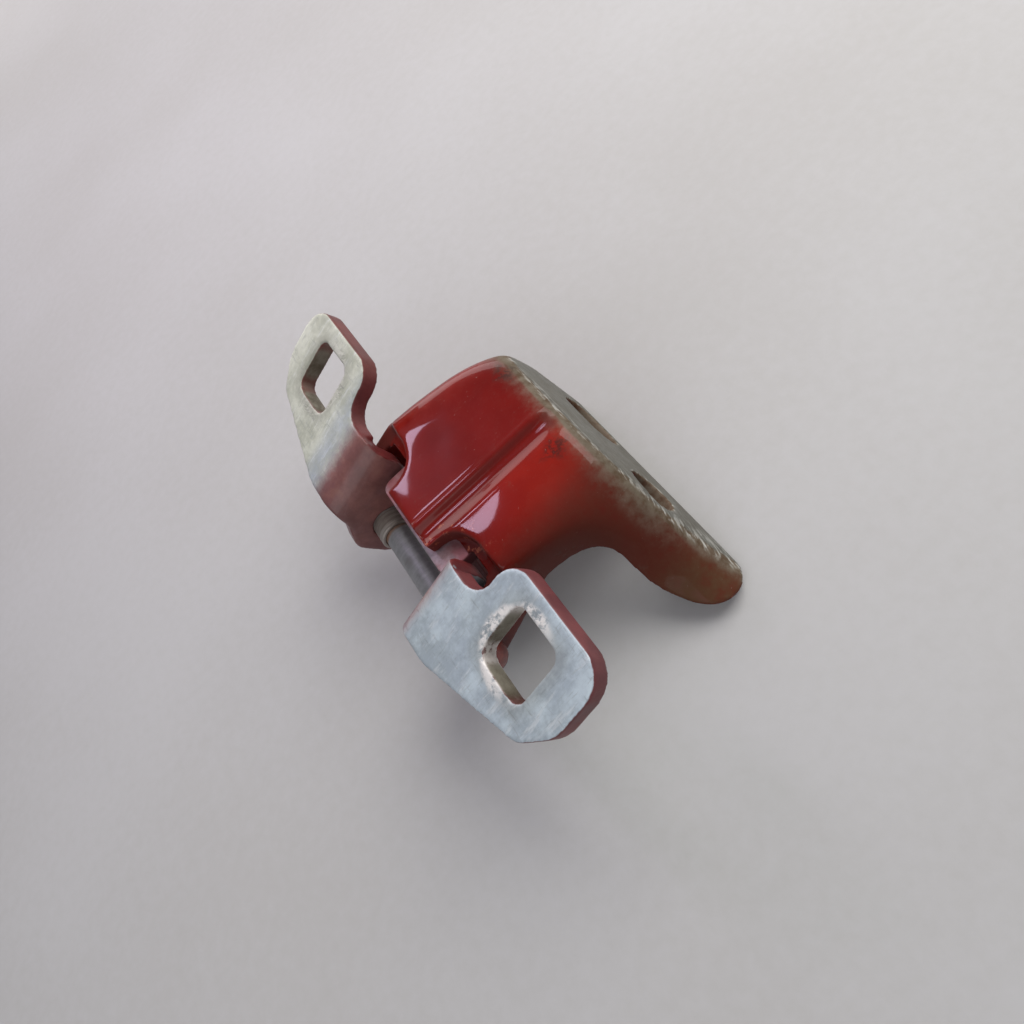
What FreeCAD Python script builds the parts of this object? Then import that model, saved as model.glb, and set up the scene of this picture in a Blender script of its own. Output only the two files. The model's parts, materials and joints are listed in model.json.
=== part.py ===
import FreeCAD, Part
import math
import os

import Sketcher

# Vehicle door hinge: a deep-drawn pillar bracket holds a riveted pin, and a bent door leaf with two
# fixing tabs turns on that pin.  Millimetres.  +Y runs along the pin, +X along the bracket's web
# towards the pillar, +Z up from the web.  Every piece is drawn about the pin's axis, and all are
# moved together at the end so that the origin is under the middle of the hinge.

os.makedirs("parts", exist_ok=True)
doc = FreeCAD.newDocument("door_hinge")

# ---------------------------------------------------------------- driving dimensions
sheet = doc.addObject("Spreadsheet::Sheet", "Dimensions")
DIMENSIONS = [
    ("sheet_gauge", 4.7),        # steel of the bracket and of the leaf
    ("web_height", 18.9),        # top of the web above the pin's axis
    ("wall_outer", 28.0),        # outer face of each side wall from the middle of the pin
    ("base_lean", 11.0),         # degrees that the pillar face leans out below the web
    ("base_bottom", -17.0),      # lower edge of the pillar face
    ("notch_depth", 17.7),       # back of the notches that clear the leaf's ears
    ("lug_half", 9.6),           # half width of the lug left between the notches
    ("lug_front", 8.0),          # front edge of that lug
    ("boss_radius", 8.4),        # round end of each side wall, about the pin
    ("pillar_hole_r", 6.0),      # round fixing hole to the pillar
    ("pillar_slot_r", 5.5),      # half width of the slotted fixing hole
    ("pillar_slot_long", 18.0),  # its end-to-end length
    ("pin_radius", 4.0),
    ("pin_head_radius", 5.5),
    ("pin_head_reach", 33.0),    # outer end of each rivet head
    ("bush_radius", 5.0),
    ("bush_play", 0.05),         # radial running clearance on the pin
    ("bush_inner_end", 12.0),
    ("ear_inner", 17.0),         # inner face of each ear
    ("washer_radius", 7.5),
    ("washer_inner_face", 21.95),
    ("washer_outer_face", 23.15),
    ("leaf_face", 19.0),         # fixing face of the tabs above the pin's axis
    ("leaf_tilt", 19.88),         # degrees the leaf is raised from the web
    ("bend_outer", 6.0),         # outside radius of the leaf's bends
    ("bridge_face", -15.0),      # outer face of the bridge between the ears
    ("bridge_half", 7.0),        # half width of that bridge
    ("tab_end", 62.2),           # far end of each tab
    ("tab_top", 31.9),           # upper edge of the tabs from the pin's axis
    ("tab_hole_side", 14.0),     # square fixing hole
    ("tab_hole_corner", 2.6),    # its corner radius
    ("tab_hole_span", 45.74),    # its centre along the pin
    ("tab_hole_reach", 19.8),    # its centre from the pin's axis
    ("doubler_gauge", 3.5),
    ("doubler_half", 15.5),
    ("doubler_front", 6.3),
    ("doubler_back", 30.0),
    ("pin_setback", 22.7),       # from the pin's axis to the middle of the hinge
]
for row, (alias, value) in enumerate(DIMENSIONS, start=1):
    sheet.set(f"A{row}", alias)
    sheet.set(f"B{row}", str(value))
    sheet.setAlias(f"B{row}", alias)
doc.recompute()


def dim(alias):
    """One driving dimension, read back from the sheet."""
    return float(sheet.get(alias))


def bind(obj, prop, expression):
    """Tie a property to the sheet; names in the expression are the sheet's aliases."""
    for alias, _ in sorted(DIMENSIONS, key=lambda pair: -len(pair[0])):
        expression = expression.replace(f"<{alias}>", f"Dimensions.{alias}")
    obj.setExpression(prop, expression)


def vec(x, y, z=0.0):
    return FreeCAD.Vector(x, y, z)


def new_body(name):
    body = doc.addObject("PartDesign::Body", name)
    body.Label = name
    return body


def new_sketch(body, name, role, offset=0.0):
    """A sketch on one of the body's own origin planes, lifted off it by offset."""
    plane = next(item for item in body.Origin.OriginFeatures if item.Role == role)
    sketch = body.newObject("Sketcher::SketchObject", name)
    sketch.AttachmentSupport = [(plane, "")]
    sketch.MapMode = "FlatFace"
    sketch.AttachmentOffset = FreeCAD.Placement(vec(0, 0, offset), FreeCAD.Rotation())
    return sketch


def add_circle(sketch, x, y, radius_expression):
    """A circle whose radius follows the sheet."""
    index = sketch.addGeometry(Part.Circle(vec(x, y), vec(0, 0, 1), 1.0), False)
    constraint = sketch.addConstraint(Sketcher.Constraint("Radius", index, 1.0))
    bind(sketch, f"Constraints[{constraint}]", radius_expression)


def add_loop(sketch, points):
    """Straight edges through the points, closed."""
    for start, end in zip(points, points[1:] + points[:1]):
        sketch.addGeometry(Part.LineSegment(vec(*start), vec(*end)), False)


def rounded_loop(corners):
    """Closed wire through (x, y, radius) corners, each rounded by an arc of its radius."""
    spots = [vec(x, y) for x, y, _ in corners]
    ends = []
    for index, (_, _, radius) in enumerate(corners):
        here = spots[index]
        back = (spots[index - 1] - here).normalize()
        ahead = (spots[(index + 1) % len(spots)] - here).normalize()
        if radius == 0:
            ends.append((here, here, here))
            continue
        half = back.getAngle(ahead) / 2
        reach = radius / math.tan(half)
        centre = here + (back + ahead).normalize() * (radius / math.sin(half))
        middle = centre + (here - centre).normalize() * radius
        ends.append((here + back * reach, middle, here + ahead * reach))
    edges = []
    for index, (start, middle, end) in enumerate(ends):
        if (end - start).Length > 1e-6:
            edges.append(Part.Arc(start, middle, end))
        following = ends[(index + 1) % len(ends)][0]
        if (following - end).Length > 1e-6:
            edges.append(Part.LineSegment(end, following))
    return edges


def add_edges(sketch, edges):
    for edge in edges:
        sketch.addGeometry(edge, False)


# ---------------------------------------------------------------- pillar bracket
# The bracket is one drawn sheet.  Its outer skin is a smooth surface over this net: each row is a
# station from the pin end of the channel, over the bend and down the pillar face; each row runs
# from the left rim over the web to the right rim, which flares into the long foot.
WEB = dim("web_height")
WALL = dim("wall_outer")
BOTTOM = dim("base_bottom")
LEAN = math.tan(math.radians(dim("base_lean")))
BEND_X = 49.75       # where the flat pillar face starts, and how high
BEND_Z = 15.0


def face_x(z):
    """How far out the pillar face lies at height z."""
    return BEND_X + (BEND_Z - z) * LEAN


FOOT = face_x(BOTTOM)
SKIN_NET = [
    [(2, WALL, 5), (2, WALL, 12), (2, WALL - 0.2, WEB + 0.3), (2, 14, WEB), (2, 0, WEB),
     (2, -14, WEB), (2, -WALL - 0.6, WEB + 0.3), (2, -WALL, 12), (2, -WALL, 5)],
    [(10, WALL, 5), (10, WALL, 12), (10, WALL - 0.2, WEB + 0.3), (10, 14, WEB), (10, 0, WEB),
     (10, -14, WEB), (10, -WALL - 0.6, WEB + 0.3), (10, -WALL, 12), (10, -WALL, 5)],
    [(20, WALL, 6), (20, WALL, 12), (20, WALL - 0.4, WEB + 0.3), (20, 14, WEB), (20, 0, WEB),
     (20, -14, WEB), (20, -WALL - 0.6, WEB), (20, -WALL, 12), (20, -WALL, 6)],
    [(30, 27, 6), (30, 27, 12), (30, 26.2, WEB), (30, 13.5, WEB), (30, 0, WEB),
     (30, -13.5, WEB), (29, -28, 18.6), (28, -28, 12), (28, -28, 6.5)],
    [(39, 25, 5), (39, 25.5, 11), (39, 25, 18.6), (39, 12.5, WEB), (38, 0, WEB),
     (37, -13.5, WEB), (36, -28, 17), (35, -29, 10), (34.5, -29, 5.5)],
    [(46, 24, 3), (46, 23.8, 9), (46, 22, 17.9), (44.5, 10.5, WEB), (43.5, -1, WEB),
     (43, -15, WEB), (42, -28, 15), (41, -33, 7), (38.5, -33, 4)],
    [(50.4, 23.2, 4), (50.2, 22.9, 8), (49.6, 20.5, 15.6), (48.5, 9, 18.3), (47.9, -2.5, WEB),
     (47.6, -15.5, 19.4), (46.8, -28, 14.4), (44, -36.5, 2.5), (37.8, -38.5, -4.5)],
    [(face_x(1.5) - 0.2, 22.6, 1.5), (face_x(5.5) - 0.2, 21.4, 5.5), (face_x(11.5), 17, 11.5),
     (face_x(13.5), 6.5, 13.5), (face_x(14.6), -4.5, 14.6), (face_x(16.3), -16, 16.3),
     (face_x(12.5), -28, 12.5), (49, -39, -2), (40.5, -44.5, -10.5)],
    [(face_x(-1.5), 21.6, -1.5), (face_x(1), 19, 1), (face_x(6.5), 13, 6.5), (face_x(8.5), 5, 8.5),
     (face_x(10), -5, 10), (face_x(12.5), -16, 12.5), (face_x(7.5), -28, 7.5), (51.5, -43, -8),
     (46, -52.8, -12.9)],
    [(face_x(-8), 20, -8), (face_x(-8), 16, -8), (face_x(-6), 10, -6), (face_x(-5), 3, -5),
     (face_x(-4), -6, -4), (face_x(-4), -16, -4), (face_x(-8), -28, -8), (55, -42.5, -13), (55, -51.2, -13.9)],
    [(FOOT, 17, BOTTOM), (FOOT, 13, BOTTOM), (FOOT, 7, BOTTOM), (FOOT, 1, BOTTOM), (FOOT, -8, BOTTOM),
     (FOOT, -17, BOTTOM), (FOOT, -28, BOTTOM), (FOOT, -38, BOTTOM), (FOOT, -45, BOTTOM)],
]
CUBIC = 3


def clamped_knots(poles):
    """Knots and multiplicities of a clamped uniform cubic over that many poles."""
    spans = poles - CUBIC
    knots = [index / spans for index in range(spans + 1)]
    return knots, [CUBIC + 1] + [1] * (spans - 1) + [CUBIC + 1]


def skin_surface(net):
    surface = Part.BSplineSurface()
    row_knots, row_mults = clamped_knots(len(net))
    col_knots, col_mults = clamped_knots(len(net[0]))
    poles = [[vec(*spot) for spot in row] for row in net]
    surface.buildFromPolesMultsKnots(poles, row_mults, col_mults, row_knots, col_knots,
                                     False, False, CUBIC, CUBIC)
    return surface


def averaged_knots(poles):
    """The surface parameter that each pole of a clamped uniform cubic pulls on most."""
    knots, mults = clamped_knots(poles)
    full = [knot for knot, mult in zip(knots, mults) for _ in range(mult)]
    return [sum(full[index + 1:index + 1 + CUBIC]) / CUBIC for index in range(poles)]


def inner_net():
    """The outer net moved inwards by the sheet's gauge, pole by pole, along the skin's normal."""
    outer = skin_surface(SKIN_NET)
    along = averaged_knots(len(SKIN_NET))
    across = averaged_knots(len(SKIN_NET[0]))
    inward = -1 if outer.normal(0.3, 0.5).z > 0 else 1
    gauge = dim("sheet_gauge")
    net = []
    for row, u in zip(SKIN_NET, along):
        moved = [vec(*spot) + outer.normal(u, v) * (inward * gauge) for spot, v in zip(row, across)]
        net.append([(spot.x, spot.y, max(spot.z, BOTTOM)) for spot in moved])
    for index, spot in enumerate(net[-1]):
        net[-1][index] = (spot[0], spot[1], BOTTOM)
    return net


def drawn_shell():
    """The sheet between the outer and inner skins, closed by ruled faces round the rim."""
    outer = skin_surface(SKIN_NET)
    inner = skin_surface(inner_net())
    faces = [outer.toShape(), inner.toShape()]
    for outer_edge, inner_edge in zip(
            (outer.uIso(0.0), outer.uIso(1.0), outer.vIso(0.0), outer.vIso(1.0)),
            (inner.uIso(0.0), inner.uIso(1.0), inner.vIso(0.0), inner.vIso(1.0))):
        faces.append(Part.makeRuledSurface(outer_edge.toShape(), inner_edge.toShape()))
    hull = Part.Shell(faces)
    hull.sewShape()
    solid = Part.Solid(hull)
    solid.fix(0.001, 0.001, 0.001)
    if solid.Volume < 0:
        solid.reverse()
    return solid


shell = doc.addObject("Part::Feature", "DrawnShell")
shell.Shape = drawn_shell()

BOSS = dim("boss_radius")


def side_lug(side):
    """The flat end of one side wall, from its round boss at the pin back into the channel."""
    slope = math.radians(22.0)
    top = (-BOSS * math.sin(slope), BOSS * math.cos(slope))
    low = (BOSS * math.sin(math.radians(35)), -BOSS * math.cos(math.radians(35)))
    back_x = 24.0
    outline = [(back_x, 6.5), (back_x, 13.5), (17.0, 15.2), top]
    points = [vec(x, 0, z) for x, z in outline]
    edges = [Part.LineSegment(a, b).toShape() for a, b in zip(points, points[1:])]
    end = vec(low[0], 0, low[1])
    edges.append(Part.Arc(points[-1], vec(-BOSS, 0, 0), end).toShape())
    edges.append(Part.LineSegment(end, points[0]).toShape())
    gauge = dim("sheet_gauge")
    plate = Part.Face(Part.Wire(edges)).extrude(vec(0, gauge, 0))
    plate.translate(vec(0, WALL - gauge if side > 0 else -WALL, 0))
    return plate


left_lug = doc.addObject("Part::Feature", "LeftLug")
left_lug.Shape = side_lug(1)
right_lug = doc.addObject("Part::Feature", "RightLug")
right_lug.Shape = side_lug(-1)


def notch_tool(side):
    """Removes the web ahead of one shoulder, beside the lug, with a round inner corner."""
    lug = dim("lug_half")
    back = dim("notch_depth")
    corners = [(-10, side * (lug + 0.4), 0), (9, side * lug, 0), (15, side * lug, 7.0),
               (back, side * (lug + 7.5), 6.0), (back, side * 40, 0), (-10, side * 40, 0)]
    if side < 0:
        corners.reverse()
    wire = Part.Wire([edge.toShape() for edge in rounded_loop(corners)])
    tool = Part.Face(wire).extrude(vec(0, 0, 30))
    return tool


def front_tool():
    """Removes the skin ahead of the lug and of the side walls' sloping top edge."""
    lug_front = dim("lug_front")
    ahead = Part.makeBox(40, 100, 60, vec(lug_front - 40, -50, -20))
    slope = math.radians(22.0)
    left = (-30.0, BOSS - 30.0 * math.tan(slope))
    right = (dim("notch_depth") + 0.3, BOSS / math.cos(slope) + 17.7 * math.tan(slope))
    outline = [vec(left[0], -50, left[1]), vec(right[0], -50, right[1]),
               vec(right[0], -50, 40), vec(left[0], -50, 40)]
    above = Part.Face(Part.makePolygon(outline + outline[:1])).extrude(vec(0, 100, 0))
    return ahead, above


ahead_box, above_walls = front_tool()
front_cut = doc.addObject("Part::Feature", "FrontTool")
front_cut.Shape = ahead_box
notches = []
for side, name in ((1, "LeftNotchTool"), (-1, "RightNotchTool")):
    tool = doc.addObject("Part::Feature", name)
    tool.Shape = notch_tool(side).common(above_walls)
    notches.append(tool)


PUNCH_DEPTH = 7.0    # how far the fixing holes are punched behind the pillar face
PUNCH_PROUD = 13.0


def pillar_hole(name, y, z, radius_alias, length_alias=None):
    """A fixing hole square to the pillar face; with a length it is a slot along Y."""
    tools = []
    offsets = [0.0]
    if length_alias:
        half = dim(length_alias) / 2 - dim(radius_alias)
        offsets = [-half, half]
        block = doc.addObject("Part::Box", name + "Middle")
        bind(block, "Length", f"{PUNCH_DEPTH + PUNCH_PROUD} mm")
        bind(block, "Width", f"<{length_alias}> * 1 mm - 2 * <{radius_alias}> * 1 mm")
        bind(block, "Height", f"2 * <{radius_alias}> * 1 mm")
        tools.append((block, vec(-PUNCH_DEPTH, -half, -dim(radius_alias))))
    for index, offset in enumerate(offsets):
        drill = doc.addObject("Part::Cylinder", f"{name}End{index}")
        bind(drill, "Radius", f"<{radius_alias}> * 1 mm")
        bind(drill, "Height", f"{PUNCH_DEPTH + PUNCH_PROUD} mm")
        tools.append((drill, vec(-PUNCH_DEPTH, offset, 0)))
    lean = dim("base_lean")
    square_to_face = FreeCAD.Rotation(vec(0, 1, 0), -lean)
    for tool, spot in tools:
        turn = FreeCAD.Rotation(vec(0, 1, 0), 90) if tool.TypeId == "Part::Cylinder" else FreeCAD.Rotation()
        local = FreeCAD.Placement(spot, turn)
        tool.Placement = FreeCAD.Placement(vec(face_x(z), y, z), square_to_face).multiply(local)
    return [tool for tool, _ in tools]


ROUND_HOLE = (-25.4, -0.9)    # Y and Z of the round hole's centre on the pillar face
SLOT_HOLE = (4.6, -8.6)
holes = pillar_hole("RoundHole", *ROUND_HOLE, "pillar_hole_r")
holes += pillar_hole("SlotHole", *SLOT_HOLE, "pillar_slot_r", "pillar_slot_long")

# the pillar face is coined flat
COINED = 0.12
face_planer = doc.addObject("Part::Box", "FacePlaner")
bind(face_planer, "Length", "20 mm")
bind(face_planer, "Width", "120 mm")
bind(face_planer, "Height", "80 mm")
planer_turn = FreeCAD.Rotation(vec(0, 1, 0), -dim("base_lean"))
planer_spot = vec(face_x(0), 0, 0) + planer_turn.multVec(vec(-COINED, -60, -40))
face_planer.Placement = FreeCAD.Placement(planer_spot, planer_turn)

pin_bore = doc.addObject("Part::Cylinder", "PinBore")
bind(pin_bore, "Radius", "<pin_radius> * 1 mm")
bind(pin_bore, "Height", "100 mm")
pin_bore.Placement = FreeCAD.Placement(vec(0, -50, 0), FreeCAD.Rotation(vec(1, 0, 0), -90))

trimmed = doc.addObject("Part::Cut", "TrimmedShell")
trimmed.Base = shell
trimmed.Tool = front_cut
blank = doc.addObject("Part::MultiFuse", "BracketBlank")
blank.Shapes = [trimmed, left_lug, right_lug]
cutters = doc.addObject("Part::MultiFuse", "BracketCutters")
cutters.Shapes = notches + holes + [face_planer, pin_bore]
bracket = doc.addObject("Part::Cut", "pillar_bracket")
bracket.Base = blank
bracket.Tool = cutters
bracket.Label = "pillar_bracket"

# ---------------------------------------------------------------- doubler under the web
doubler = doc.addObject("Part::Box", "web_doubler")
doubler.Label = "web_doubler"
bind(doubler, "Length", "(<doubler_back> - <doubler_front>) * 1 mm")
bind(doubler, "Width", "2 * <doubler_half> * 1 mm")
bind(doubler, "Height", "<doubler_gauge> * 1 mm")
doubler_top = WEB - dim("sheet_gauge") - 0.1
doubler.Placement.Base = vec(dim("doubler_front"), -dim("doubler_half"), doubler_top - dim("doubler_gauge"))

# ---------------------------------------------------------------- pivot pin, a rivet through both walls
pin = new_body("pivot_pin")
pin_profile = new_sketch(pin, "PinProfile", "XY_Plane")
shank = dim("pin_radius")
head = dim("pin_head_radius")
reach = dim("pin_head_reach")
crown = 1.6
add_loop(pin_profile, [(0, -reach), (head - crown, -reach), (head, -reach + crown), (head, -WALL),
                       (shank, -WALL), (shank, WALL), (head, WALL), (head, reach - crown),
                       (head - crown, reach), (0, reach)])
pin_turning = pin.newObject("PartDesign::Revolution", "PinTurning")
pin_turning.Profile = pin_profile
pin_turning.ReferenceAxis = (pin_profile, ["V_Axis"])
pin_turning.Angle = 360.0


# ---------------------------------------------------------------- bushes and thrust washers
def ring(name, outer_alias, low_expression, length_expression, low):
    """A ring about the pin, from low along +Y."""
    body = new_body(name)
    section = new_sketch(body, name + "_section", "XZ_Plane")
    add_circle(section, 0, 0, f"<{outer_alias}>")
    add_circle(section, 0, 0, "<pin_radius> + <bush_play>")
    pad = body.newObject("PartDesign::Pad", name + "_pad")
    pad.Profile = section
    bind(pad, "Length", length_expression)
    pad.Reversed = True
    body.Placement = FreeCAD.Placement(vec(0, low, 0), FreeCAD.Rotation())
    return body


EAR_INNER = dim("ear_inner")
EAR_OUTER = EAR_INNER + dim("sheet_gauge")
bush_length = "(<ear_inner> + <sheet_gauge> - <bush_inner_end>) * 1 mm"
washer_length = "(<washer_outer_face> - <washer_inner_face>) * 1 mm"
left_bush = ring("left_bush", "bush_radius", "", bush_length, dim("bush_inner_end"))
right_bush = ring("right_bush", "bush_radius", "", bush_length, -EAR_OUTER)
left_washer = ring("left_thrust_washer", "washer_radius", "", washer_length, dim("washer_inner_face"))
right_washer = ring("right_thrust_washer", "washer_radius", "", washer_length, -dim("washer_outer_face"))

# ---------------------------------------------------------------- door leaf
# Drawn in its own frame: x from the pin along the tabs, y along the pin, z up to the fixing face.
leaf = new_body("door_leaf")
gauge = dim("sheet_gauge")
face = dim("leaf_face")
under = face - gauge
bridge = dim("bridge_face")
outer_bend = dim("bend_outer")
inner_bend = outer_bend - gauge
TAB_END = dim("tab_end")


def leaf_section():
    """Constant-thickness section of tabs, ears and bridge, as a closed loop in y and z."""
    half = [(TAB_END, under, 0), (EAR_OUTER, under, inner_bend), (EAR_OUTER, bridge, outer_bend)]
    upper = [(EAR_INNER, bridge + gauge, inner_bend), (EAR_INNER, face, outer_bend), (TAB_END, face, 0)]
    mirrored = [(-y, z, r) for y, z, r in reversed(half)]
    mirrored_upper = [(-y, z, r) for y, z, r in reversed(upper)]
    return half + mirrored + mirrored_upper + upper


section_sketch = new_sketch(leaf, "LeafSection", "YZ_Plane")
add_edges(section_sketch, rounded_loop(leaf_section()))
section_pad = leaf.newObject("PartDesign::Pad", "LeafSheet")
section_pad.Profile = section_sketch
section_pad.Length = 90.0
section_pad.SideType = "Symmetric"
doc.recompute()

TOP = dim("tab_top")
NECK_LOW = -0.4      # the neck between an ear and its tab
NECK_HIGH = 19.4
FLAT_FROM = 22.9     # the tab is flat from here outwards
beyond = TAB_END + 8
tab_corners = [
    (FLAT_FROM, NECK_LOW, 0), (29.5, NECK_LOW, 8.0), (57.0, 8.4, 6.0), (TAB_END, 16.0, 8.0),
    (TAB_END, TOP, 7.0), (31.3, TOP, 6.4), (31.3, NECK_HIGH, 5.4), (FLAT_FROM, NECK_HIGH, 0),
    (FLAT_FROM, 46.0, 0), (beyond, 46.0, 0), (beyond, -46.0, 0), (FLAT_FROM, -46.0, 0),
]
tab_trim = new_sketch(leaf, "TabTrim", "XY_Plane")
add_edges(tab_trim, rounded_loop([(x, y, r) for y, x, r in tab_corners]))
tab_pocket = leaf.newObject("PartDesign::Pocket", "TabTrimCut")
tab_pocket.Profile = tab_trim
tab_pocket.Type = "ThroughAll"
tab_pocket.SideType = "Symmetric"
doc.recompute()

hole_half = dim("tab_hole_side") / 2
hole_x = dim("tab_hole_reach")
hole_y = dim("tab_hole_span")
corner_r = dim("tab_hole_corner")
hole_sketch = new_sketch(leaf, "TabHole", "XY_Plane")
add_edges(hole_sketch, rounded_loop([
    (hole_x - hole_half, hole_y - hole_half, corner_r), (hole_x + hole_half, hole_y - hole_half, corner_r),
    (hole_x + hole_half, hole_y + hole_half, corner_r), (hole_x - hole_half, hole_y + hole_half, corner_r)]))
hole_pocket = leaf.newObject("PartDesign::Pocket", "TabHoleCut")
hole_pocket.Profile = hole_sketch
hole_pocket.Type = "ThroughAll"
hole_pocket.SideType = "Symmetric"
doc.recompute()

mirror_plane = next(item for item in leaf.Origin.OriginFeatures if item.Role == "XZ_Plane")
both_tabs = leaf.newObject("PartDesign::Mirrored", "BothTabs")
both_tabs.Originals = [tab_pocket, hole_pocket]
both_tabs.MirrorPlane = (mirror_plane, [""])
leaf.Tip = both_tabs
doc.recompute()

# the ears' outline, cut only between the two flat tabs
BRIDGE_HALF = dim("bridge_half")
ear_corners = [
    (NECK_LOW, 30.0, 0), (NECK_LOW, 19.0, 4.0), (-3.4, 11.6, 5.0), (-9.9, 5.2, 6.0),
    (-9.9, -5.0, 7.0), (-BRIDGE_HALF, -10.0, 5.0), (-BRIDGE_HALF, -40.0, 0), (BRIDGE_HALF, -40.0, 0),
    (BRIDGE_HALF, -8.5, 6.0), (11.0, -2.5, 8.0), (17.0, 8.0, 8.0), (18.6, 16.0, 6.0),
    (NECK_HIGH, 19.0, 3.0), (NECK_HIGH, 30.0, 0),
]
far = 60.0
ear_trim = new_sketch(leaf, "EarTrim", "XZ_Plane")
outside = [(NECK_HIGH, 30.0, 0), (far, 30.0, 0), (far, -40.0, 0), (BRIDGE_HALF, -40.0, 0)]
low_side = [(NECK_LOW, 30.0, 0), (-far, 30.0, 0), (-far, -40.0, 0), (-BRIDGE_HALF, -40.0, 0)]
right_run = outside + ear_corners[8:13]
left_run = low_side + list(reversed(ear_corners[1:6]))
add_edges(ear_trim, rounded_loop(right_run))
add_edges(ear_trim, rounded_loop(left_run))
ear_pocket = leaf.newObject("PartDesign::Pocket", "EarTrimCut")
ear_pocket.Profile = ear_trim
ear_pocket.SideType = "Symmetric"
ear_pocket.Length = 2 * FLAT_FROM
doc.recompute()

bush_seat = new_sketch(leaf, "BushSeat", "XZ_Plane")
add_circle(bush_seat, 0, 0, "<bush_radius>")
seat_pocket = leaf.newObject("PartDesign::Pocket", "BushSeatCut")
seat_pocket.Profile = bush_seat
seat_pocket.SideType = "Symmetric"
seat_pocket.Length = 2 * FLAT_FROM
leaf.Tip = seat_pocket
leaf.Placement = FreeCAD.Placement(vec(0, 0, 0), FreeCAD.Rotation(vec(0, 1, 0), -dim("leaf_tilt")))

# ---------------------------------------------------------------- place, build, check and write
NODES = [bracket, doubler, pin, left_bush, right_bush, left_washer, right_washer, leaf]
for node in NODES:
    node.Placement.Base += vec(-dim("pin_setback"), 0, -BOTTOM)
doc.recompute()
for obj in doc.Objects:
    faults = [state for state in obj.State if state in ("Invalid", "Error")]
    if faults:
        raise RuntimeError(f"{obj.Name} failed: {faults}")
for node in NODES:
    shape = node.Shape
    if shape.isNull() or not shape.isValid() or len(shape.Solids) != 1:
        raise RuntimeError(f"{node.Label} is not one valid solid: {len(shape.Solids)}")
    shape.exportStep(f"parts/{node.Label}.step")
    box = shape.BoundBox
    print(node.Label, round(shape.Volume), [round(value, 1) for value in
          (box.XMin, box.YMin, box.ZMin, box.XMax, box.YMax, box.ZMax)])
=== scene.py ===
import json
import math

import bmesh
import bpy
from mathutils import Matrix, Vector, noise
from mathutils.bvhtree import BVHTree


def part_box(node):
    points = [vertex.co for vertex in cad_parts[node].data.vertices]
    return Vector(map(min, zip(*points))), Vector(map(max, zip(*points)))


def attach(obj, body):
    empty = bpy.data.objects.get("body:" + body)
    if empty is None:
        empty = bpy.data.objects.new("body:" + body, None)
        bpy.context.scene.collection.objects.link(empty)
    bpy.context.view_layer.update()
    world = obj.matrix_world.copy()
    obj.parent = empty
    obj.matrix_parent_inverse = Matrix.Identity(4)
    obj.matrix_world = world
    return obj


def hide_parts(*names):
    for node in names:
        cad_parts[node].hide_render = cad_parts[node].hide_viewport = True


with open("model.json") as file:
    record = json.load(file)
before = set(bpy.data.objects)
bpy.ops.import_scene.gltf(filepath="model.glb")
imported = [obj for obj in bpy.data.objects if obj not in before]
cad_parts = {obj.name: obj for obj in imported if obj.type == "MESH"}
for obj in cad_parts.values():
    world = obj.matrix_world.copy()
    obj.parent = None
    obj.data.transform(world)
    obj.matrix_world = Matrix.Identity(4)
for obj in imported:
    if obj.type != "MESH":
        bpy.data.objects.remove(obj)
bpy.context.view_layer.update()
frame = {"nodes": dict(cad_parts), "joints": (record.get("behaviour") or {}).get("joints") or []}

MM = 0.001
# the middle of the pivot pin's axis, in the row's frame; places below are in millimetres from it,
# with x along the web towards the pillar, y along the pin and z up
PIVOT = Vector(frame["joints"][0]["pos_m"])
LEAF_TILT = math.radians(19.88)
ALONG_TAB = Vector((math.cos(LEAF_TILT), 0, math.sin(LEAF_TILT)))
OFF_TAB = Vector((-math.sin(LEAF_TILT), 0, math.cos(LEAF_TILT)))
WEB_TOP = 18.9          # height of the web's outer face
GAUGE = 4.7             # thickness of the bracket's and the leaf's sheet
HOLE_OUT = 45.74        # middle of each square hole: distance out along the pin's direction
HOLE_ALONG = 19.8       # and along the tab
HOLE_HALF = 7.0         # half the side of a square hole
SKIN_VOXEL = 0.42       # size of the quads in the bracket's and the leaf's skins
FLOOR_GAP = 0.2         # how far the floor lies below the object, so that the two never flicker


def at(x, y, z):
    return PIVOT + Vector((x, y, z)) * MM


def ease(low, high, value):
    """0 at low, 1 at high, and a smooth S between them; low may be the larger."""
    t = min(1.0, max(0.0, (value - low) / (high - low)))
    return t * t * (3 - 2 * t)


# ------------------------------------------------------------------ shader maths
class Sig:
    """A node's output socket that can be used in a Python expression."""

    def __init__(self, graph, socket):
        self.graph = graph
        self.socket = socket

    def _math(self, operation, *values):
        return self.graph.node("ShaderNodeMath", {"operation": operation}, dict(enumerate(values)))

    def __add__(self, other):
        return self._math("ADD", self, other)

    def __radd__(self, other):
        return self._math("ADD", other, self)

    def __sub__(self, other):
        return self._math("SUBTRACT", self, other)

    def __rsub__(self, other):
        return self._math("SUBTRACT", other, self)

    def __mul__(self, other):
        return self._math("MULTIPLY", self, other)

    def __rmul__(self, other):
        return self._math("MULTIPLY", other, self)

    def __truediv__(self, other):
        return self._math("DIVIDE", self, other)

    def __pow__(self, other):
        return self._math("POWER", self, other)

    def __abs__(self):
        return self._math("ABSOLUTE", self)

    def most(self, other):
        return self._math("MAXIMUM", self, other)

    def least(self, other):
        return self._math("MINIMUM", self, other)

    def ramp(self, low, high):
        """0 at low, 1 at high, smooth between; low may be the larger."""
        settings = {"interpolation_type": "SMOOTHSTEP", "clamp": True}
        return self.graph.node("ShaderNodeMapRange", settings,
                               {"Value": self, "From Min": low, "From Max": high})


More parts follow.
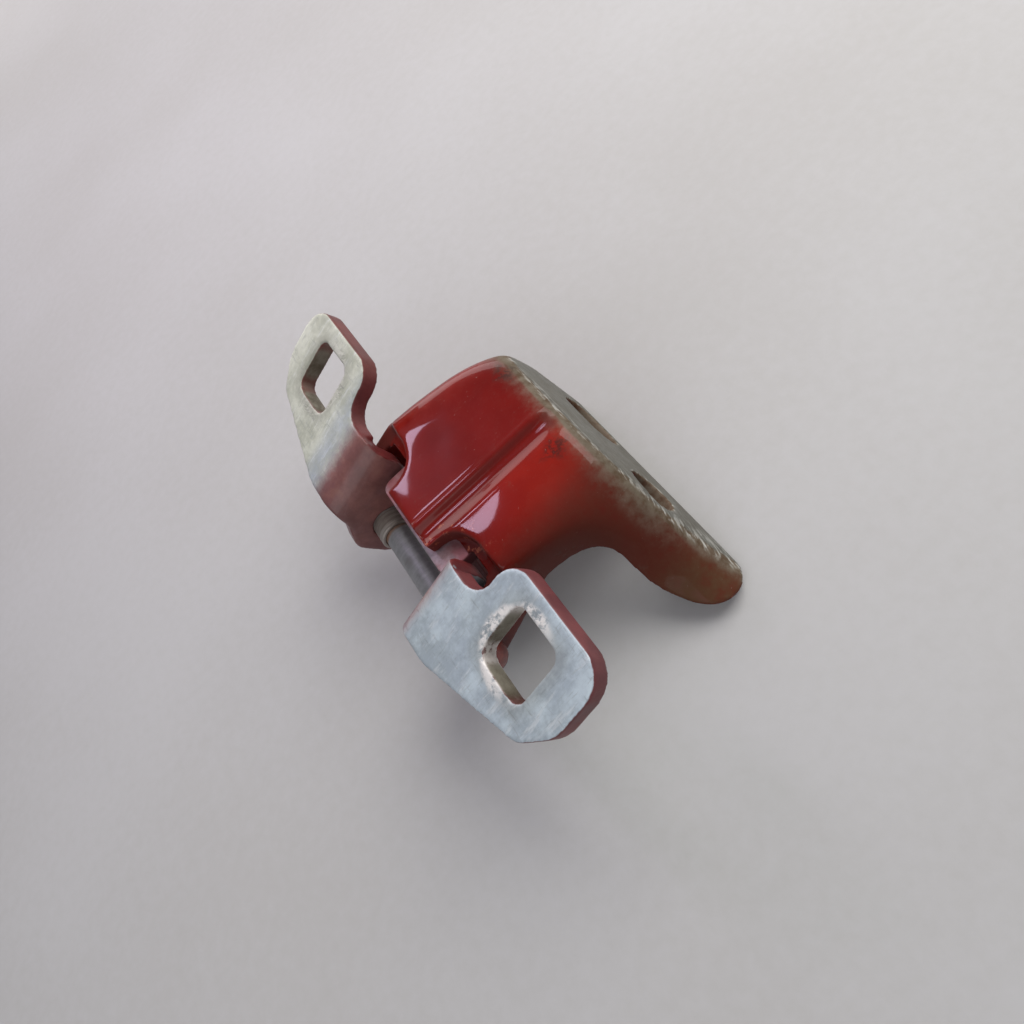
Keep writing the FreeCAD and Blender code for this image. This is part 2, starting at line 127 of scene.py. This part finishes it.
class Graph:
    """One material being built."""

    def __init__(self, name):
        self.material = bpy.data.materials.new(name)
        self.material.use_nodes = True
        self.tree = self.material.node_tree
        self.tree.nodes.clear()
        self.place = self.node("ShaderNodeTexCoord", out="Object")
        self.facing = self.node("ShaderNodeTexCoord", out="Normal")

    def node(self, kind, settings=None, inputs=None, out=0):
        """Adds a node: its settings first, then its sockets' values or links."""
        node = self.tree.nodes.new(kind)
        for key, value in (settings or {}).items():
            setattr(node, key, value)
        for key, value in (inputs or {}).items():
            if isinstance(value, Sig):
                self.tree.links.new(value.socket, node.inputs[key])
            else:
                node.inputs[key].default_value = value
        return Sig(self, node.outputs[out]) if out is not None else None

    def axes(self, vector):
        """The x, y and z of a vector."""
        return [self.node("ShaderNodeSeparateXYZ", {}, {0: vector}, out) for out in "XYZ"]

    def along(self, direction):
        """Millimetres from the pivot along a fixed direction."""
        moved = self.node("ShaderNodeVectorMath", {"operation": "SUBTRACT"},
                          {0: self.place, 1: tuple(PIVOT)})
        per_mm = tuple(Vector(direction) / MM)
        return self.node("ShaderNodeVectorMath", {"operation": "DOT_PRODUCT"},
                         {0: moved, 1: per_mm}, "Value")

    def grain(self, scale, detail=3.0, roughness=0.5, stretch=None, turn=(0, 0, 0)):
        """Noise from 0 to 1; scale is per metre, stretch multiplies it along each axis."""
        vector = self.place
        if stretch:
            vector = self.node("ShaderNodeMapping", {}, {"Vector": vector, "Scale": stretch,
                                                         "Rotation": turn})
        return self.node("ShaderNodeTexNoise", {}, {"Vector": vector, "Scale": scale,
                                                    "Detail": detail, "Roughness": roughness})

    def attribute(self, name):
        return self.node("ShaderNodeAttribute", {"attribute_name": name}, out="Fac")

    def blend(self, amount, low, high):
        """Colour low where amount is 0, high where it is 1."""
        low = low if isinstance(low, Sig) else (*low, 1.0)
        high = high if isinstance(high, Sig) else (*high, 1.0)
        return self.node("ShaderNodeMix", {"data_type": "RGBA"},
                         {0: amount, 6: low, 7: high}, 2)

    def finish(self, color, roughness, metallic, height, relief, coat=None, coat_roughness=0.08,
               specular=0.5):
        """Closes the material; height is raised by relief metres, coat is the share of clear lacquer."""
        bump = self.node("ShaderNodeBump", {}, {"Height": height, "Distance": relief, "Strength": 1.0},
                         "Normal")
        inputs = {"Base Color": color, "Roughness": roughness, "Metallic": metallic,
                  "Specular IOR Level": specular, "Normal": bump}
        if coat is not None:
            inputs["Coat Weight"] = coat
            inputs["Coat Roughness"] = coat_roughness
        surface = self.node("ShaderNodeBsdfPrincipled", {}, inputs)
        self.node("ShaderNodeOutputMaterial", {}, {"Surface": surface}, out=None)
        return self.material


# ------------------------------------------------------------------ materials
def enamel_red(g, x, y, nz, broad, fine):
    """Deep red with its uneven tone and painted light (a lit red right of the groove, a painted sheen on
    the left shoulder, painted shade on the right wall), and how much dust lies on the right wall and
    down the foot.
    """
    tone = broad.ramp(0.35, 0.65)
    # painted light: a shaded and a lit copy of the red; the lit one is laid right of the groove, where
    # the light falls
    shaded = g.blend(tone, (0.105, 0.003, 0.002), (0.160, 0.005, 0.003))
    lit = g.blend(tone, (0.19, 0.006, 0.003), (0.28, 0.012, 0.005))
    painted_light_band = (y + (broad - 0.5) * 6).ramp(-6, -12) * y.ramp(-27, -17) * x.ramp(12, 30)
    red = g.blend(painted_light_band, shaded, lit)
    # painted sheen: a lighter red along the left shoulder, where the sky reflects
    painted_shoulder_sheen = y.ramp(14, 24) * (broad + fine * 0.4).ramp(0.4, 0.9)
    red = g.blend(painted_shoulder_sheen * 0.5, red, (0.30, 0.025, 0.018))
    # painted shade: darker red on the right wall, which faces away from the light
    painted_wall_shade = nz.ramp(0.75, 0.35) * y.ramp(-8, -18)
    red = g.blend(painted_wall_shade * 0.65, red, (0.070, 0.006, 0.004))
    dust = (y - x * 0.30).ramp(-24, -42) * (broad * 0.7 + fine * 0.8).ramp(0.20, 0.80)
    red = g.blend(dust * 0.85, red, (0.088, 0.022, 0.013))
    foot = y.ramp(-36, -46) * (broad + fine * 0.6).ramp(0.45, 1.0)
    red = g.blend(foot * 0.85, red, (0.085, 0.045, 0.022))
    return red, dust, foot


def worn_thin(x, y, nx, nz, broad, fine, specks):
    """How far the enamel is rubbed away: 0 on the web, 1 over the bend and on the pillar face."""
    spared_foot = y.ramp(-30, -42) * 0.25
    facing_pillar = (nx - spared_foot).ramp(0.12, 0.72) * x.ramp(40, 45)
    past_bend = x.ramp(42, 51) * 0.8 * nz.ramp(-0.1, 0.2) * (1 - spared_foot * 3.6)
    over_bend = facing_pillar.most(past_bend) * 1.45
    uneven = (specks - 0.5) * 0.35 + (fine - 0.5) * 0.25 + (broad - 0.5) * 0.25
    return (over_bend + uneven).ramp(-0.05, 1.45)


def bracket_paint():
    """Glossy red enamel on the drawn bracket: worn to grey over the bend and scratched on the face."""
    g = Graph("bracket_enamel")
    x, y = g.along((1, 0, 0)), g.along((0, 1, 0))
    nx, _, nz = g.axes(g.facing)
    broad = g.grain(28, 4, 0.55)
    fine = g.grain(420, 5, 0.6)
    specks = g.grain(1500, 3, 0.6)
    red, dust, foot = enamel_red(g, x, y, nz, broad, fine)
    thin = worn_thin(x, y, nx, nz, broad, fine, specks)
    olive = g.blend(fine.ramp(0.3, 0.7), (0.088, 0.058, 0.036), (0.185, 0.152, 0.115))
    color = g.blend(thin, red, olive)
    # the pillar face: bare scratched steel
    streaks = g.grain(420, 7, 0.78, (3.2, 1, 3.2), (0.12, 0.0, 0.0))
    bare = (nx.ramp(0.80, 0.97) * x.ramp(44, 48) + (streaks - 0.5)).ramp(0.35, 0.75) * thin
    scratched = (streaks * 0.6 + fine * 0.4).ramp(0.36, 0.66)
    color = g.blend(bare, color, g.blend(scratched, (0.125, 0.12, 0.10), (0.245, 0.245, 0.225)))
    # bright rubbed flecks just over the crest, and grime in the worn paint
    nicks = g.grain(160, 4, 0.6, (6, 1.2, 6), (0.9, 0.3, 0.0))
    crest = nx.ramp(0.72, 0.86) * nx.ramp(0.985, 0.93) * x.ramp(44, 47)
    rubbed = crest * (fine * 0.5 + nicks * 0.9).ramp(0.66, 0.84) * (broad + nicks * 0.6).ramp(0.55, 0.95)
    color = g.blend(rubbed * 0.75, color, (0.60, 0.60, 0.56))
    grime = (g.grain(95, 5, 0.65) * 0.7 + fine * 0.4).ramp(0.42, 0.72) * thin
    color = g.blend(grime * 0.55, color, (0.105, 0.09, 0.065))
    # dark scuffs where the bend starts
    by_groove = (abs(x - 43) / 5.0 + abs(y + 13) / 4.0).ramp(1.1, 0.3)
    by_shoulder = (abs(x - 46) / 4.0 + abs(y - 12) / 5.0).ramp(1.1, 0.3)
    scuff = by_groove.most(by_shoulder) * (fine * 0.7 + specks * 0.5).ramp(0.50, 0.68)
    color = g.blend(scuff * 0.7, color, (0.030, 0.012, 0.010))
    # the sheet's cut edges and worn convex corners
    rim = g.attribute("rim") * (0.6 + fine * 0.6)
    color = g.blend(rim.least(0.8) * (1 - thin), color, (0.11, 0.026, 0.022))
    worn = (g.attribute("edge") * 1.2 + (fine - 0.5) * 1.3 - 0.35).ramp(0.35, 0.75)
    color = g.blend(worn * 0.45, color, (0.33, 0.10, 0.08))
    # chips at the lug's right corner, lightened to orange as painted glints on the torn edge, then dirt
    # and bright specks all over
    chips_and_glints = (fine + specks * 0.4).ramp(0.78, 0.9) * x.ramp(24, 14) * y.ramp(-5, -9) * y.ramp(-22, -17)
    color = g.blend(chips_and_glints * 0.8, color, (0.45, 0.13, 0.07))
    dirt = g.grain(260, 5, 0.65).ramp(0.60, 0.74) * g.grain(55, 3, 0.5).ramp(0.46, 0.62)
    color = g.blend(dirt * 0.45, color, (0.09, 0.055, 0.04))
    color = g.blend(specks.ramp(0.70, 0.78) * 0.25, color, (0.55, 0.42, 0.38))
    gloss = 1 - thin.most(dust * 0.75).most(foot).most(rim).least(1.0)
    rough = 0.55 - gloss * 0.30 + (fine - 0.5) * 0.12
    height = fine * 0.35 + specks * 0.15 + streaks * thin * 0.5 - dirt * 0.4 + broad * 0.6
    return g.finish(color, rough, bare * 0.55, height, 0.00007, gloss * 0.5, 0.05, 0.04)


def leaf_zinc():
    """Bare zinc tabs, red overspray on the bends and ears, rubbed rings about the square holes."""
    g = Graph("leaf_zinc_and_overspray")
    y = g.along((0, 1, 0))
    reach = g.along(ALONG_TAB)
    out = abs(y)
    broad = g.grain(35, 4, 0.55)
    mottled = g.grain(130, 5, 0.62)
    fine = g.grain(650, 5, 0.65)
    bright_scratch = g.grain(90, 5, 0.7, (1, 5, 1), (0.0, 0.0, 0.5))
    dark_scratch = g.grain(110, 5, 0.7, (12, 1.5, 6), (0.0, 0.3, -0.6))
    left = y.ramp(-5, 5)
    pale = g.blend(left, (0.55, 0.63, 0.66), (0.60, 0.61, 0.52))
    shade = g.blend(left, (0.34, 0.39, 0.42), (0.41, 0.42, 0.34))
    color = g.blend((mottled * 0.7 + broad * 0.3 + (fine - 0.5) * 0.3).ramp(0.38, 0.66), shade, pale)
    color = g.blend(bright_scratch.ramp(0.54, 0.68) * 0.5, color, (0.68, 0.70, 0.70))
    color = g.blend(dark_scratch.ramp(0.56, 0.70) * 0.5, color, (0.24, 0.25, 0.24))
    # a bluish tint: on the right tab the zinc's own tint, on the left tab towards the bend a painted
    # bluish reflection where the sheet starts to curve
    bluish_tint_and_reflection = (1 - left) * 0.25 + left * out.ramp(36, 30) * 0.55
    color = g.blend(bluish_tint_and_reflection * (broad + fine * 0.3).ramp(0.45, 0.75), color, (0.33, 0.38, 0.50))
    hairs = g.grain(330, 6, 0.75, (1, 7, 1), (0.2, 0.0, 0.9)).ramp(0.54, 0.64)
    color = g.blend(hairs * 0.38, color, (0.25, 0.27, 0.27))
    # overspray fades out from the ears over the bends
    edge_y = 20.5 + (broad - 0.5) * 7 + (fine - 0.5) * 4 + left * 5.5
    spray = (edge_y - out).ramp(-3.5, 3.0)
    sprayed = g.blend(mottled.ramp(0.35, 0.7), (0.115, 0.022, 0.022), (0.20, 0.052, 0.045))
    color = g.blend(spray * 0.92, color, sprayed)
    grime = (mottled * 0.7 + broad * 0.5).ramp(0.55, 0.85) * out.ramp(25, 21)
    color = g.blend(grime * 0.55, color, (0.15, 0.115, 0.06))
    # cut edges keep their paint
    rim = (g.attribute("rim") * 1.25 + (fine - 0.5) * 0.25).ramp(0.3, 0.8)
    painted_rim = g.blend(mottled.ramp(0.3, 0.7), (0.085, 0.009, 0.010), (0.145, 0.018, 0.018))
    color = g.blend(rim * 0.95, color, painted_rim)
    # about each square hole: rubbed white ring, grime outside it, dull walls
    across = abs(out - HOLE_OUT) / HOLE_HALF
    up = abs(reach - HOLE_ALONG) / HOLE_HALF
    square = (across ** 5.0 + up ** 5.0) ** 0.2
    ragged = square + (mottled - 0.5) * 0.18 + (fine - 0.5) * 0.12
    halo = ragged.ramp(1.62, 1.12) * (0.35 + broad * 0.6)
    color = g.blend(halo * 0.55 * (1 - rim), color, (0.17, 0.165, 0.135))
    inwards = (HOLE_OUT - out) / HOLE_HALF
    ring = (across ** 2.0 + up ** 2.0) ** 0.5 + (mottled - 0.5) * 0.45 + (fine - 0.5) * 0.25
    speckle = (fine * 0.9 + mottled * 0.6).ramp(0.62, 0.80)
    rubbed = ring.ramp(1.46, 1.28) * square.ramp(0.96, 1.03) * speckle
    rubbed = rubbed * (inwards + (broad - 0.5) * 1.2).ramp(-0.9, 0.2)
    color = g.blend(rubbed * (0.9 - left * 0.75), color, (0.80, 0.76, 0.73))
    wall = square.ramp(1.035, 1.0)
    dull = g.blend((mottled + fine * 0.3).ramp(0.45, 0.85), (0.070, 0.055, 0.034), (0.20, 0.185, 0.145))
    color = g.blend(wall, color, dull)
    worn = (g.attribute("edge") + (fine - 0.5) * 1.2).ramp(0.55, 0.95)
    color = g.blend(worn * 0.12, color, (0.40, 0.36, 0.33))
    metal = (1 - spray.most(rim)) * (1 - wall) * 0.2
    rough = 0.42 + (fine - 0.5) * 0.16 + spray * 0.06 + wall * 0.2 + (mottled - 0.5) * 0.15
    cut_in = bright_scratch.ramp(0.56, 0.70) + dark_scratch.ramp(0.6, 0.72)
    height = fine * 0.4 + mottled * 0.5 - cut_in * 0.25 + rubbed * fine * 1.5
    coat = spray * (1 - grime) * 0.30
    return g.finish(color, rough, metal, height, 0.00010, coat, 0.2, 0.3)


def pin_steel():
    """Drawn steel with turning marks, a rust ring beside each bush, red paint over the riveted ends."""
    g = Graph("pin_steel")
    out = abs(g.along((0, 1, 0)))
    fine = g.grain(600, 5, 0.6)
    broad = g.grain(60, 4, 0.6)
    rings = g.grain(900, 3, 0.6, (0.05, 1, 0.05))
    color = g.blend((rings * 0.4 + fine * 0.6).ramp(0.2, 0.8), (0.15, 0.15, 0.155), (0.27, 0.27, 0.275))
    rust = ((broad - 0.5) * 1.6 + out.ramp(9.5, 12.2)).ramp(0.55, 1.05)
    color = g.blend(rust * 0.8, color, (0.20, 0.085, 0.035))
    dark = g.grain(150, 4, 0.6).ramp(0.60, 0.75)
    color = g.blend(dark * 0.4, color, (0.07, 0.06, 0.05))
    painted = out.ramp(27.6, 28.2)
    paint = g.blend(fine.ramp(0.35, 0.7), (0.11, 0.018, 0.014), (0.19, 0.034, 0.024))
    color = g.blend(painted, color, paint)
    metal = (1 - rust * 0.6) * (1 - painted) * 0.35
    height = rings * 0.7 + fine * 0.4
    return g.finish(color, 0.38 + fine * 0.15 + rust * 0.2, metal, height, 0.00004, painted * 0.7, 0.15)


def bush_bronze():
    """Dull bush metal with fine turned rings and brown dusty blotches."""
    g = Graph("bush_metal")
    fine = g.grain(700, 5, 0.6)
    broad = g.grain(90, 4, 0.6)
    rings = g.grain(1200, 3, 0.6, (0.05, 1, 0.05))
    turned_tone = (rings * 0.5 + broad * 0.5).ramp(0.35, 0.65)
    color = g.blend(turned_tone, (0.155, 0.125, 0.105), (0.33, 0.30, 0.275))
    color = g.blend(broad.ramp(0.55, 0.72) * 0.6, color, (0.16, 0.07, 0.045))
    return g.finish(color, 0.45 + fine * 0.15, 0.55 - broad * 0.3, rings * 0.6 + fine * 0.6, 0.00005)


def washer_polymer():
    """Dark wear washer, dusty with pressed-in grit."""
    g = Graph("washer_polymer")
    fine = g.grain(800, 5, 0.6)
    broad = g.grain(120, 4, 0.6)
    color = g.blend(broad.ramp(0.4, 0.7), (0.018, 0.018, 0.018), (0.075, 0.06, 0.05))
    return g.finish(color, 0.55 + fine * 0.2, 0.0, fine + broad * 0.5, 0.00006)


def doubler_finish():
    """Zinc plate under the web, misted with red paint that reached it through the notches; its mauve
    tint is a painted reflection of the lilac sky.
    """
    g = Graph("doubler_misted_zinc_painted_reflection")
    fine = g.grain(600, 5, 0.62)
    broad = g.grain(70, 4, 0.6)
    # painted reflection: the zinc's mauve tint stands in for the sky it mirrors; the red patches below
    # are overspray
    color = g.blend(fine.ramp(0.35, 0.65), (0.24, 0.20, 0.22), (0.38, 0.31, 0.34))
    color = g.blend(broad.ramp(0.36, 0.6) * 0.8, color, (0.26, 0.055, 0.06))
    return g.finish(color, 0.42 + fine * 0.15, 0.3, fine + broad, 0.00006)


# ------------------------------------------------------------------ pieces
def object_from(bm, name, body, material):
    mesh = bpy.data.meshes.new(name)
    bm.to_mesh(mesh)
    bm.free()
    for face in mesh.polygons:
        face.use_smooth = True
    piece = bpy.data.objects.new(name, mesh)
    bpy.context.scene.collection.objects.link(piece)
    mesh.materials.append(material)
    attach(piece, body)
    return piece


def smooth(bm, rounds):
    for _ in range(rounds):
        bmesh.ops.smooth_vert(bm, verts=bm.verts, factor=0.5, use_axis_x=True, use_axis_y=True,
                              use_axis_z=True)


def even_skin(node):
    """The CAD node's skin as an even mesh of small quads, its sharp edges slightly rounded."""
    mesh = frame["nodes"][node].data.copy()
    bm = bmesh.new()
    bm.from_mesh(mesh)
    bmesh.ops.remove_doubles(bm, verts=bm.verts, dist=1e-6)
    bm.to_mesh(mesh)
    bm.free()
    holder = bpy.data.objects.new(node + "_blank", mesh)
    bpy.context.scene.collection.objects.link(holder)
    remesh = holder.modifiers.new("even", "REMESH")
    remesh.mode = "VOXEL"
    remesh.voxel_size = SKIN_VOXEL * MM
    graph = bpy.context.evaluated_depsgraph_get()
    even = bpy.data.meshes.new_from_object(holder.evaluated_get(graph))
    bpy.data.objects.remove(holder)
    bm = bmesh.new()
    bm.from_mesh(even)
    bpy.data.meshes.remove(even)
    smooth(bm, 5)
    bm.normal_update()
    return bm


def spread(bm, layer, rounds):
    """Averages a vertex value with its neighbours' a few times."""
    for _ in range(rounds):
        fresh = []
        for vert in bm.verts:
            near = [edge.other_vert(vert)[layer] for edge in vert.link_edges]
            fresh.append((vert[layer] + sum(near)) / (1 + len(near)))
        for vert, value in zip(bm.verts, fresh):
            vert[layer] = value


def mark_edges(bm, tab_face=None):
    """Stores where the cut edges of the sheet are, and how sharply convex the skin is."""
    under_skin = 0.2 * MM
    reach = 50 * MM
    sheet = GAUGE * MM * 1.25       # looking in from a face it's one gauge deep, from a cut edge more
    tabs_from = 27 * MM
    rim = bm.verts.layers.float.new("rim")
    edge = bm.verts.layers.float.new("edge")
    bm.normal_update()
    tree = BVHTree.FromBMesh(bm)
    for vert in bm.verts:
        hit, _, _, depth = tree.ray_cast(vert.co - vert.normal * under_skin, -vert.normal, reach)
        cut = hit is None or depth > sheet
        if tab_face and abs(vert.co.y) > tabs_from:
            cut = abs(vert.normal.dot(tab_face)) < 0.6
        vert[rim] = 1.0 if cut else 0.0
        falls = [(link.other_vert(vert).co - vert.co).normalized().dot(vert.normal)
                 for link in vert.link_edges]
        vert[edge] = min(1.0, max(0.0, -sum(falls) / len(falls) * 5.0))
    spread(bm, rim, 2)
    spread(bm, edge, 2)


def press_beads(bm):
    """Presses the stiffening groove into the web's outer face, with a raised lip along its left side."""
    depth, lip_height, waviness = 1.35, 0.32, 0.10
    lip_line = -3.9
    for vert in bm.verts:
        x, y, z = (vert.co - PIVOT) / MM
        if z > WEB_TOP - 2.4 and vert.normal.z > 0.2:
            fade = ease(52, 41, x)
            across = y - lip_line
            groove = ease(0.0, -1.6, across) * ease(-7.4, -2.0, across)
            lip = math.exp(-((across - 0.6) / 0.8) ** 2)
            drop = (depth * groove - lip_height * lip) * fade
            drop += waviness * noise.noise(Vector((x, y, 0)) * 0.11)
            vert.co.z -= drop * MM * ease(0.2, 0.6, vert.normal.z)


def bracket_piece():
    bm = even_skin("pillar_bracket")
    press_beads(bm)
    smooth(bm, 1)
    mark_edges(bm)
    piece = object_from(bm, "drawn_bracket", "bracket", bracket_paint())
    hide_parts("pillar_bracket")


def leaf_piece():
    bm = even_skin("door_leaf")
    mark_edges(bm, OFF_TAB)
    piece = object_from(bm, "bent_door_leaf", "leaf", leaf_zinc())
    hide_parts("door_leaf")


def turned(name, profile, closed, body, material, nodes):
    """A piece turned about the pin's axis from (place along the pin, radius) points in millimetres.

    A closed profile makes a ring; an open one starts and ends on the axis.
    """
    edge_round = 0.12 * MM
    bm = bmesh.new()
    verts = [bm.verts.new(at(radius, along, 0)) for along, radius in profile]
    pairs = list(zip(verts, verts[1:])) + ([(verts[-1], verts[0])] if closed else [])
    edges = [bm.edges.new(pair) for pair in pairs]
    bmesh.ops.spin(bm, geom=verts + edges, cent=PIVOT, axis=(0, 1, 0), angle=math.tau, steps=96,
                   use_merge=True)
    bmesh.ops.remove_doubles(bm, verts=bm.verts, dist=1e-6)
    bmesh.ops.recalc_face_normals(bm, faces=bm.faces)
    piece = object_from(bm, name, body, material)
    soften = piece.modifiers.new("soften", "BEVEL")
    soften.width = edge_round
    soften.segments = 2
    soften.limit_method = "ANGLE"
    soften.angle_limit = math.radians(35)
    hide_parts(*nodes)


def pin_piece():
    head = [(-33.0, 0.0), (-32.95, 1.6), (-32.75, 3.0), (-32.2, 4.4), (-31.3, 5.2), (-30.2, 5.5),
            (-28.05, 5.5), (-28.0, 3.98)]
    far_head = [(-along, radius) for along, radius in reversed(head)]
    shank = [(-12.6, 3.98), (-12.3, 3.94), (12.3, 3.94), (12.6, 3.98)]
    turned("riveted_pivot_pin", head + shank + far_head, False, "bracket", pin_steel(),
           ["pivot_pin"])


def bush_pieces():
    metal = bush_bronze()
    for side, name in ((1, "left_bush"), (-1, "right_bush")):
        profile = [(12.0, 4.1), (12.0, 4.7), (12.3, 5.0), (21.7, 5.0), (21.7, 4.1)]
        turned(name + "_sleeve", [(side * along, radius) for along, radius in profile], True, "leaf",
               metal, [name])


def washer_pieces():
    polymer = washer_polymer()
    for side, name in ((1, "left_thrust_washer"), (-1, "right_thrust_washer")):
        profile = [(21.95, 4.1), (21.95, 7.3), (22.1, 7.5), (23.0, 7.5), (23.15, 7.3), (23.15, 4.1)]
        turned(name + "_ring", [(side * along, radius) for along, radius in profile], True, "bracket",
               polymer, [name])


def doubler_piece():
    corner_round, edge_round = 2.5 * MM, 0.35 * MM
    low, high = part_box("web_doubler")
    bm = bmesh.new()
    bmesh.ops.create_cube(bm, size=1.0)
    bmesh.ops.scale(bm, vec=high - low, verts=bm.verts)
    bmesh.ops.translate(bm, vec=(low + high) / 2, verts=bm.verts)
    upright = [edge for edge in bm.edges if abs((edge.verts[0].co - edge.verts[1].co).z) > 1 * MM]
    bmesh.ops.bevel(bm, geom=upright, offset=corner_round, segments=6, profile=0.5, affect="EDGES",
                    material=-1)
    rest = [edge for edge in bm.edges if edge.calc_face_angle(0) > math.radians(50)]
    bmesh.ops.bevel(bm, geom=rest, offset=edge_round, segments=3, profile=0.5, affect="EDGES",
                    material=-1)
    piece = object_from(bm, "web_doubler_plate", "bracket", doubler_finish())
    widest_round = 2 * MM * MM
    for face in piece.data.polygons:
        face.use_smooth = face.area < widest_round
    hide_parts("web_doubler")


bracket_piece()
leaf_piece()
pin_piece()
bush_pieces()
washer_pieces()
doubler_piece()


# ------------------------------------------------------------------ floor, lights and camera
def floor():
    bm = bmesh.new()
    bmesh.ops.create_grid(bm, x_segments=1, y_segments=1, size=3000 * MM)
    mesh = bpy.data.meshes.new("pale_floor")
    bm.to_mesh(mesh)
    bm.free()
    ground = bpy.data.objects.new("pale_floor", mesh)
    ground.location.z = -FLOOR_GAP * MM
    bpy.context.scene.collection.objects.link(ground)
    g = Graph("pale_floor_paint")
    broad = g.grain(7, 3, 0.5)
    fine = g.grain(300, 4, 0.6)
    tone = (broad * 0.7 + fine * 0.3).ramp(0.3, 0.7)
    color = g.blend(tone, (0.405, 0.395, 0.385), (0.450, 0.445, 0.445))
    mesh.materials.append(g.finish(color, 0.7, 0.0, fine, 0.00004))


def area_light(name, place, target, size, power, color, turn=0):
    data = bpy.data.lights.new(name, "AREA")
    data.shape = "RECTANGLE"
    data.size, data.size_y = size
    data.energy = power
    data.color = color
    lamp = bpy.data.objects.new(name, data)
    lamp.location = place
    aim = (target - place).to_track_quat("-Z", "Y").to_matrix()
    lamp.rotation_euler = (Matrix.Rotation(math.radians(turn), 3, "Z") @ aim).to_euler()
    lamp.visible_camera = False
    bpy.context.scene.collection.objects.link(lamp)


def camera():
    right = Vector((0.7360, -0.5229, -0.4300)).normalized()
    forward = Vector((-0.0936, 0.5505, -0.8296)).normalized()
    up = right.cross(forward).normalized()
    right = forward.cross(up)
    data = bpy.data.cameras.new("view")
    data.lens = 28.125
    data.sensor_width = 36.0
    data.clip_start = 0.005
    eye = bpy.data.objects.new("view", data)
    turn = Matrix((right, up, -forward)).transposed()
    eye.matrix_world = Matrix.Translation(at(43.0, -109.2, 156.4)) @ turn.to_4x4()
    bpy.context.scene.collection.objects.link(eye)
    bpy.context.scene.camera = eye


def soft_room():
    world = bpy.data.worlds.new("soft_room")
    world.use_nodes = True
    sky = world.node_tree.nodes["Background"].inputs
    sky["Color"].default_value = (0.93, 0.94, 1.0, 1.0)
    sky["Strength"].default_value = 0.26
    bpy.context.scene.world = world
    bpy.context.scene.view_settings.view_transform = "Standard"


floor()
middle = at(22, 0, 8)
lilac = (0.88, 0.74, 1.0)
area_light("key", at(380, 130, 400), middle, (0.45, 0.45), 3.3, (1.0, 0.98, 0.95))
# two small panes that show as bright patches in the enamel by the notches
area_light("left_pane", at(-45, 281, 300), at(-45, 281, 0), (0.068, 0.060), 0.175, lilac, 32)
area_light("right_pane", at(-24, 178, 300), at(-24, 178, 0), (0.045, 0.036), 0.068, lilac, -30)
area_light("fill", at(-280, -330, 300), middle, (0.5, 0.5), 1.1, (0.95, 0.97, 1.0))
# a low band far behind, for the soft sheen on the left shoulder and the groove's right slope
area_light("back_band", at(40, 700, 170), middle, (0.9, 0.30), 1.9, (1.0, 0.95, 0.95))
soft_room()
camera()
